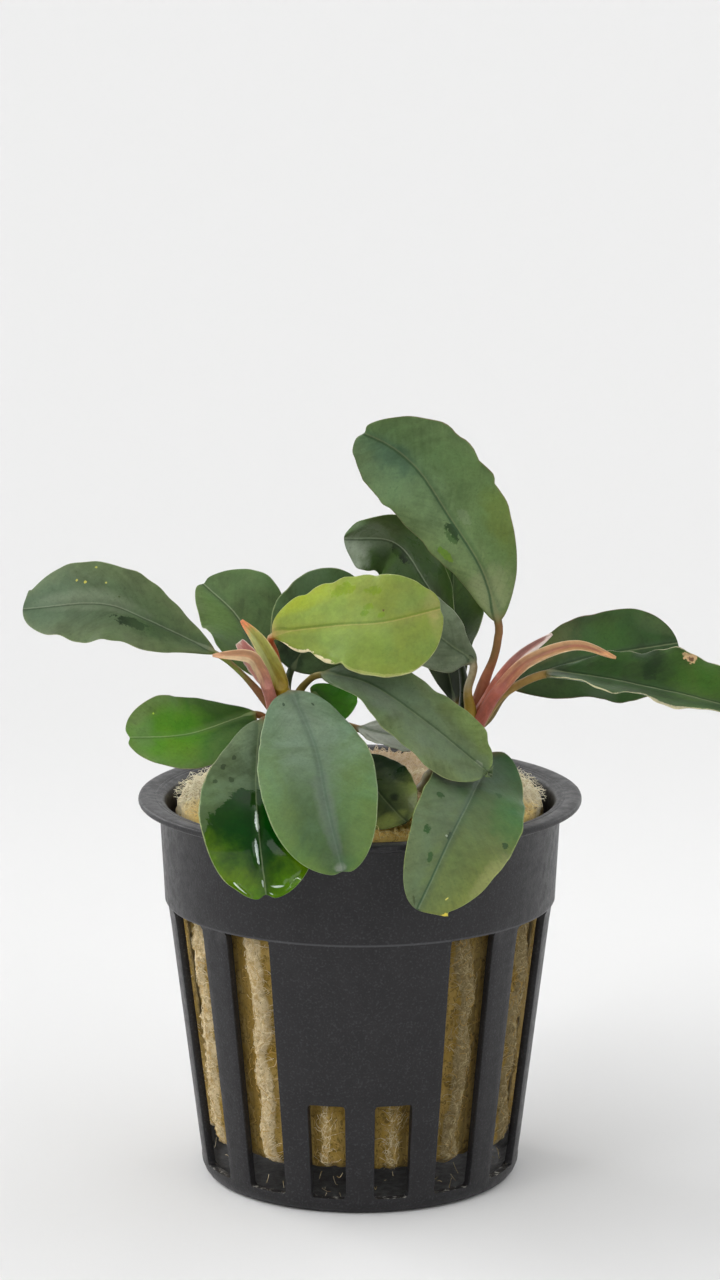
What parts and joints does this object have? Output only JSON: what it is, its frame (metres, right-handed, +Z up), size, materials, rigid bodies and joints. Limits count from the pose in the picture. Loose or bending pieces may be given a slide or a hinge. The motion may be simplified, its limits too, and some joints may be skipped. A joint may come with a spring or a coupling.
{
  "type": "bucephalandra in a net pot",
  "caption": "Small aquarium plant with two leafy shoots of oval dark green leaves, growing from a mineral wool plug in a slotted black plastic net pot.",
  "frame": {"origin": "middle of the pot's underside, on the surface that the pot stands on", "axes": "+Z up along the pot's axis, -Y to the front where the pot has its smooth panel, +X to the viewer's right"},
  "size_m": [0.0883, 0.0603, 0.096],
  "materials": {
    "black_plastic": "charcoal black moulded plastic with a fine satin grain",
    "mineral_wool": "matt fibrous mineral wool, beige to ochre",
    "stem": "olive to reddish brown stem, satin",
    "leaf": "dark grey-green leathery leaf, soft sheen, wet in places",
    "leaf_bright": "yellow-green young leaf, soft sheen",
    "bract": "thin papery bract, orange pink to tan"
  },
  "bodies": {
    "root": {"net_pot": "black_plastic", "rockwool_plug": "mineral_wool", "rhizome_left": "stem", "rhizome_right": "stem", "leaf_far_left": "leaf", "leaf_upper_left": "leaf", "leaf_bright": "leaf_bright", "leaf_behind_bright": "leaf", "leaf_long_middle": "leaf", "leaf_lower_left": "leaf_bright", "leaf_wet_front": "leaf", "leaf_front": "leaf", "leaf_small_bright": "leaf_bright", "leaf_small_pleated": "leaf", "leaf_on_wool": "leaf", "young_leaf_left": "leaf_bright", "bract_tan_left": "bract", "bract_mauve_left": "bract", "leaf_tall": "leaf", "leaf_dark_back": "leaf", "leaf_upright_back": "leaf", "leaf_short_grey": "leaf", "leaf_upper_right": "leaf", "leaf_lower_right": "leaf", "leaf_right_front": "leaf", "spathe_right": "bract", "bract_mauve_right": "bract"}
  },
  "joints": []
}
